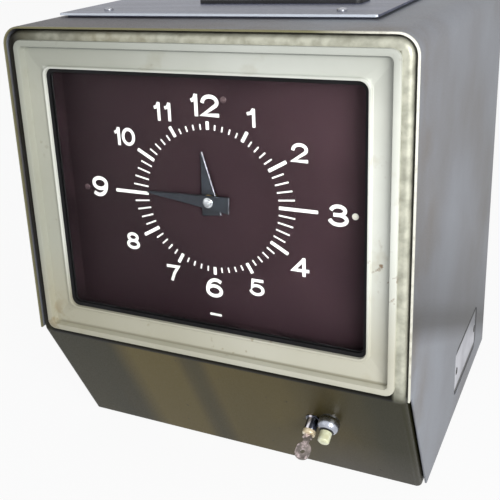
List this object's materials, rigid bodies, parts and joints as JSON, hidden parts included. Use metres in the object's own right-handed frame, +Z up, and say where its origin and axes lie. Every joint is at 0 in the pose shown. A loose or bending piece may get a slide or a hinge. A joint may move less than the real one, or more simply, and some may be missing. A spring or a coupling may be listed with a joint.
{
  "type": "time clock",
  "caption": "Steel-cased time recorder with an analogue dial behind a hinged front door, a sloping base with lock, key and knob, and a card throat on top.",
  "frame": {"origin": "on the surface that the feet stand on, under the middle of the box that holds the case and its key", "axes": "+X to the viewer's right, +Y to the back where the wall screws go, +Z up"},
  "size_m": [0.25, 0.2616, 0.2995],
  "materials": {
    "hood_paint": "satin grey-bronze hammer paint",
    "door_paint": "satin bronze paint",
    "steel_sheet": "zinc-plated sheet",
    "top_steel": "brushed",
    "side_steel": "matt",
    "screw_steel": "zinc-plated",
    "dark_screw": "blackened",
    "ivory_plastic": "smooth ivory moulding",
    "black_plastic": "matt",
    "gasket_rubber": "matt",
    "foot_rubber": "matt",
    "clear_glass": "clear",
    "dial_paint": "matt maroon",
    "dial_screw": "pale",
    "hand_paint": "satin dark blue-grey",
    "chrome_plate": "polished",
    "brass_part": "turned",
    "plate_brass": "flat ground",
    "key_steel": "nickel-plated",
    "type_metal": "inked",
    "motor_can": "drawn can",
    "spool_plastic": "matt",
    "ribbon_fabric": "inked cloth",
    "coil_dark": "varnished"
  },
  "bodies": {
    "case": {"hood": "hood_paint", "base_plate": "steel_sheet", "back_plate": "steel_sheet", "rubber_feet": "foot_rubber", "case_screws": "screw_steel", "side_plate": "side_steel", "side_plate_screws": "dark_screw", "top_plate": "top_steel", "top_plate_screws": "screw_steel", "card_throat": "black_plastic", "case_hinge_arms": "steel_sheet", "hinge_pins": "screw_steel", "lock_keeper": "steel_sheet", "dial": "dial_paint", "dial_backing": "black_plastic", "dial_screws": "dial_screw", "movement_front_plate": "plate_brass", "movement_back_plate": "plate_brass", "pillars": "brass_part", "clock_motor": "motor_can", "print_bracket": "steel_sheet", "ink_ribbon": "ribbon_fabric", "card_guides": "steel_sheet", "print_solenoid": "coil_dark", "inner_frame": "steel_sheet", "power_unit": "coil_dark"},
    "door": {"door": "door_paint", "door_hinge_eyes": "steel_sheet", "bezel": "ivory_plastic", "bezel_clips": "steel_sheet", "crystal": "clear_glass", "crystal_gasket": "gasket_rubber", "crystal_retainer": "steel_sheet", "lock_body": "chrome_plate", "lock_nut": "screw_steel", "door_knob": "chrome_plate", "knob_stud": "brass_part"},
    "lock": {"lock_plug": "brass_part", "lock_cam": "steel_sheet", "cam_screw": "screw_steel"},
    "key": {"key": "key_steel"},
    "minutes": {"centre_arbor": "screw_steel", "cannon_pinion": "brass_part", "minute_hand": "hand_paint", "hand_nut": "chrome_plate", "centre_wheel": "brass_part"},
    "motion_wheel": {"minute_wheel": "brass_part"},
    "hours": {"hour_wheel": "brass_part", "hour_hand": "hand_paint"},
    "motor_rotor": {"motor_pinion": "brass_part"},
    "type_minutes": {"type_shaft": "screw_steel", "minute_type_wheel": "type_metal"},
    "type_hours": {"hour_type_wheel": "type_metal"},
    "type_date": {"date_type_wheel": "type_metal"},
    "carry": {"carry_gear": "brass_part"},
    "spool_top": {"ribbon_spool_top": "spool_plastic"},
    "spool_bottom": {"ribbon_spool_bottom": "spool_plastic"},
    "hammer": {"print_hammer": "steel_sheet"},
    "plunger": {"solenoid_plunger": "screw_steel"},
    "stop": {"card_stop": "brass_part"}
  },
  "joints": [
    {"name": "door_hinge", "type": "hinge", "parent": "case", "child": "door", "pos_m": [-0.1155, -0.12348, 0.1918], "axis": [0, 0, -1], "range_deg": [0, 90]},
    {"name": "lock_turn", "type": "hinge", "parent": "door", "child": "lock", "pos_m": [0.062, -0.10612, 0.05597], "axis": [0, 0.8845, 0.4665], "range_deg": [0, 90]},
    {"name": "key_pull", "type": "slide", "parent": "lock", "child": "key", "axis": [0, -0.8845, -0.4665], "range_m": [0, 0.025]},
    {"name": "minute_turn", "type": "hinge", "parent": "case", "child": "minutes", "pos_m": [0, -0.10688, 0.1918], "axis": [0, 1, 0], "continuous": true},
    {"name": "motion_wheel_turn", "type": "hinge", "parent": "case", "child": "motion_wheel", "pos_m": [0.01697, -0.10118, 0.17483], "axis": [0, 1, 0], "continuous": true},
    {"name": "hour_turn", "type": "hinge", "parent": "case", "child": "hours", "pos_m": [0, -0.10688, 0.1918], "axis": [0, 1, 0], "continuous": true},
    {"name": "motor_spin", "type": "hinge", "parent": "case", "child": "motor_rotor", "pos_m": [-0.02376, -0.08618, 0.16804], "axis": [0, 1, 0], "continuous": true},
    {"name": "type_turn", "type": "hinge", "parent": "case", "child": "type_minutes", "pos_m": [0.04, -0.04818, 0.1918], "axis": [1, 0, 0], "continuous": true},
    {"name": "hour_type_turn", "type": "hinge", "parent": "case", "child": "type_hours", "pos_m": [0.036, -0.04818, 0.1918], "axis": [1, 0, 0], "continuous": true},
    {"name": "date_type_turn", "type": "hinge", "parent": "case", "child": "type_date", "pos_m": [0.044, -0.04818, 0.1918], "axis": [1, 0, 0], "continuous": true},
    {"name": "carry_turn", "type": "hinge", "parent": "case", "child": "carry", "pos_m": [0.028, -0.04818, 0.2158], "axis": [1, 0, 0], "continuous": true},
    {"name": "spool_top_turn", "type": "hinge", "parent": "case", "child": "spool_top", "pos_m": [0.034, -0.03828, 0.2518], "axis": [1, 0, 0], "continuous": true},
    {"name": "spool_bottom_turn", "type": "hinge", "parent": "case", "child": "spool_bottom", "pos_m": [0.034, -0.03828, 0.1318], "axis": [1, 0, 0], "continuous": true},
    {"name": "hammer_swing", "type": "hinge", "parent": "case", "child": "hammer", "pos_m": [0.034, -0.00608, 0.1518], "axis": [1, 0, 0], "range_deg": [0, 8], "stiffness_Nm_per_rad": 0.4, "springref_deg": -14.32},
    {"name": "plunger_pull", "type": "slide", "parent": "case", "child": "plunger", "axis": [0, 1, 0], "range_m": [0, 0.003]},
    {"name": "card_stop_lift", "type": "slide", "parent": "case", "child": "stop", "axis": [0, 0, 1], "range_m": [-0.01, 0.1]}
  ],
  "couplings": [
    {"joint": "motor_spin", "follows": "minute_turn", "ratio": -6},
    {"joint": "motion_wheel_turn", "follows": "minute_turn", "ratio": -0.33333},
    {"joint": "hour_turn", "follows": "minute_turn", "ratio": 0.083333},
    {"joint": "type_turn", "follows": "minute_turn", "ratio": 1},
    {"joint": "carry_turn", "follows": "minute_turn", "ratio": -0.25},
    {"joint": "hour_type_turn", "follows": "minute_turn", "ratio": 0.041667},
    {"joint": "date_type_turn", "follows": "minute_turn", "ratio": 0.0013441},
    {"joint": "spool_bottom_turn", "follows": "spool_top_turn", "ratio": 1},
    {"joint": "plunger_pull", "follows": "hammer_swing", "m_per_rad": 0.02}
  ]
}
